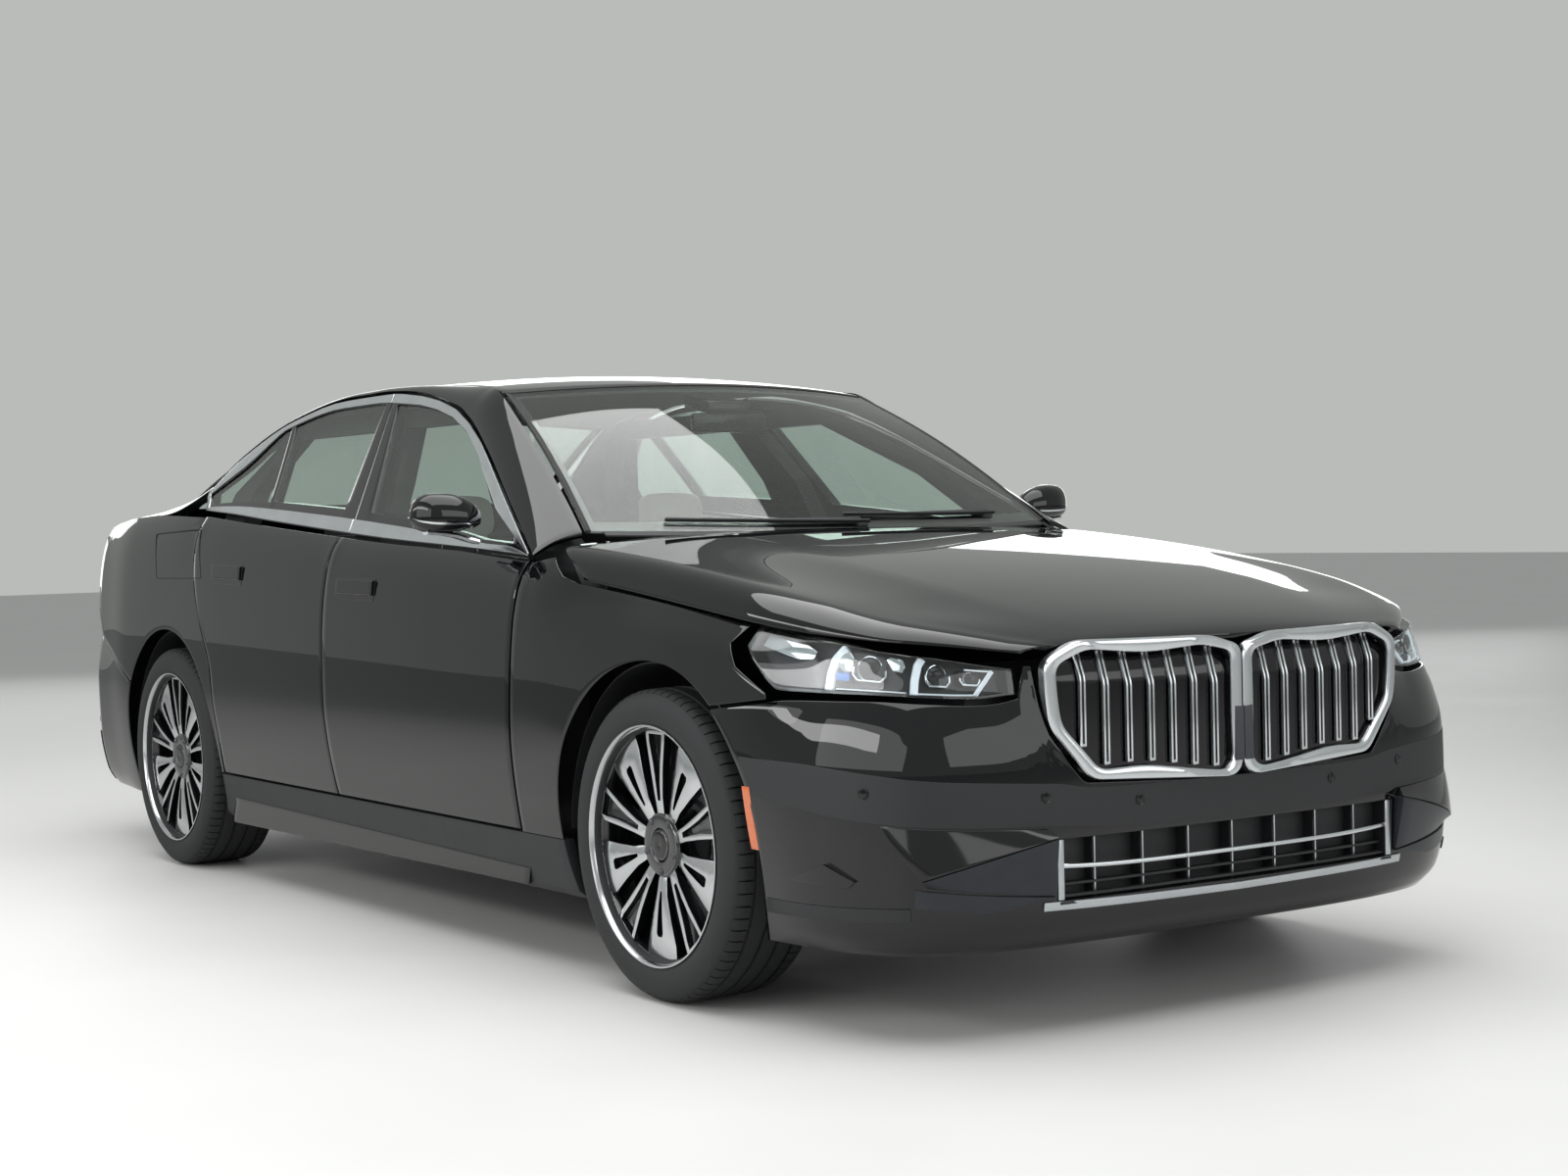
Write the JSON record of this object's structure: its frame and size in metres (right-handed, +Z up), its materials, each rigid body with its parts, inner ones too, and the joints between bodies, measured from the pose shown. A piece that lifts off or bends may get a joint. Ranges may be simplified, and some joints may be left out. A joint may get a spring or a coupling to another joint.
{
  "type": "electric saloon car",
  "caption": "Large saloon car with opening doors, bonnet and boot lid, steered front wheels, a framed grille, glazed windows and a furnished cabin.",
  "frame": {"origin": "on the floor under the middle of the car's length and width", "axes": "front of the car towards -Y, its left side towards +X, +Z up"},
  "size_m": [2.1346, 5.0593, 1.5149],
  "materials": {
    "body_paint": "gloss",
    "inner_body": "satin",
    "under_body": "matt",
    "pack_case": "cast",
    "drive_casing": "cast",
    "ring_metal": "satin chrome",
    "lamp_lens": "clear",
    "tail_lens": "gloss",
    "screen_glass": "clear",
    "side_glass": "tinted",
    "skirt_plastic": "gloss",
    "liner_plastic": "matt",
    "seat_leather": "semi-matt",
    "dash_plastic": "soft-touch",
    "wheel_leather": "semi-matt",
    "axle_metal": "cast",
    "wheel_alloy": "turned and painted",
    "tyre_rubber": "matt"
  },
  "bodies": {
    "body": {"floor_pan": "under_body", "battery_pack": "pack_case", "drive_units": "drive_casing", "side_frames": "inner_body", "body_sides": "body_paint", "roof_panel": "body_paint", "front_fenders": "body_paint", "front_bumper": "body_paint", "rear_bumper": "body_paint", "grilles": "ring_metal", "headlamps": "lamp_lens", "tail_lamps": "tail_lens", "windscreen": "screen_glass", "rear_window": "screen_glass", "side_skirts": "skirt_plastic", "arch_liners": "liner_plastic", "bulkheads": "inner_body", "front_seats": "seat_leather", "rear_seat": "seat_leather", "dashboard": "dash_plastic", "axle_frames": "axle_metal"},
    "bonnet": {"bonnet": "body_paint"},
    "boot_lid": {"boot_lid": "body_paint", "lid_lamps": "tail_lens"},
    "steering_wheel": {"steering_wheel": "wheel_leather"},
    "door_front_left": {"door_front_left": "body_paint", "glass_front_left": "side_glass", "mirror_left": "body_paint"},
    "door_rear_left": {"door_rear_left": "body_paint", "glass_rear_left": "side_glass"},
    "knuckle_left": {"knuckle_left": "axle_metal"},
    "wheel_front_left": {"rim_front_left": "wheel_alloy", "tyre_front_left": "tyre_rubber"},
    "wheel_rear_left": {"rim_rear_left": "wheel_alloy", "tyre_rear_left": "tyre_rubber"},
    "door_front_right": {"door_front_right": "body_paint", "glass_front_right": "side_glass", "mirror_right": "body_paint"},
    "door_rear_right": {"door_rear_right": "body_paint", "glass_rear_right": "side_glass"},
    "knuckle_right": {"knuckle_right": "axle_metal"},
    "wheel_front_right": {"rim_front_right": "wheel_alloy", "tyre_front_right": "tyre_rubber"},
    "wheel_rear_right": {"rim_rear_right": "wheel_alloy", "tyre_rear_right": "tyre_rubber"}
  },
  "joints": [
    {"name": "bonnet_hinge", "type": "hinge", "parent": "body", "child": "bonnet", "pos_m": [0, -1.075, 1], "axis": [-1, 0, 0], "range_deg": [0, 55]},
    {"name": "boot_hinge", "type": "hinge", "parent": "body", "child": "boot_lid", "pos_m": [0, 1.75, 1.11], "axis": [1, 0, 0], "range_deg": [0, 75]},
    {"name": "door_front_left_hinge", "type": "hinge", "parent": "body", "child": "door_front_left", "pos_m": [0.918, -0.92, 0.62], "axis": [0, 0, -1], "range_deg": [0, 70]},
    {"name": "door_rear_left_hinge", "type": "hinge", "parent": "body", "child": "door_rear_left", "pos_m": [0.924, 0.185, 0.62], "axis": [0, 0, -1], "range_deg": [0, 65]},
    {"name": "door_front_right_hinge", "type": "hinge", "parent": "body", "child": "door_front_right", "pos_m": [-0.918, -0.92, 0.62], "axis": [0, 0, 1], "range_deg": [0, 70]},
    {"name": "door_rear_right_hinge", "type": "hinge", "parent": "body", "child": "door_rear_right", "pos_m": [-0.924, 0.185, 0.62], "axis": [0, 0, 1], "range_deg": [0, 65]},
    {"name": "steer_left", "type": "hinge", "parent": "body", "child": "knuckle_left", "pos_m": [0.755, -1.6, 0.352], "axis": [0, 0, 1], "range_deg": [-33, 33]},
    {"name": "steer_right", "type": "hinge", "parent": "body", "child": "knuckle_right", "pos_m": [-0.755, -1.6, 0.352], "axis": [0, 0, 1], "range_deg": [-33, 33]},
    {"name": "steering_turn", "type": "hinge", "parent": "body", "child": "steering_wheel", "pos_m": [0.375, -0.48, 0.88], "axis": [0, 0.9063, 0.4226], "range_deg": [-470, 470]},
    {"name": "roll_front_left", "type": "hinge", "parent": "knuckle_left", "child": "wheel_front_left", "pos_m": [0.805, -1.6, 0.352], "axis": [1, 0, 0], "continuous": true},
    {"name": "roll_front_right", "type": "hinge", "parent": "knuckle_right", "child": "wheel_front_right", "pos_m": [-0.805, -1.6, 0.352], "axis": [1, 0, 0], "continuous": true},
    {"name": "roll_rear_left", "type": "hinge", "parent": "body", "child": "wheel_rear_left", "pos_m": [0.805, 1.395, 0.352], "axis": [1, 0, 0], "continuous": true},
    {"name": "roll_rear_right", "type": "hinge", "parent": "body", "child": "wheel_rear_right", "pos_m": [-0.805, 1.395, 0.352], "axis": [1, 0, 0], "continuous": true}
  ],
  "couplings": [
    {"joint": "steer_right", "follows": "steer_left", "ratio": 1},
    {"joint": "steering_turn", "follows": "steer_left", "ratio": 14}
  ]
}
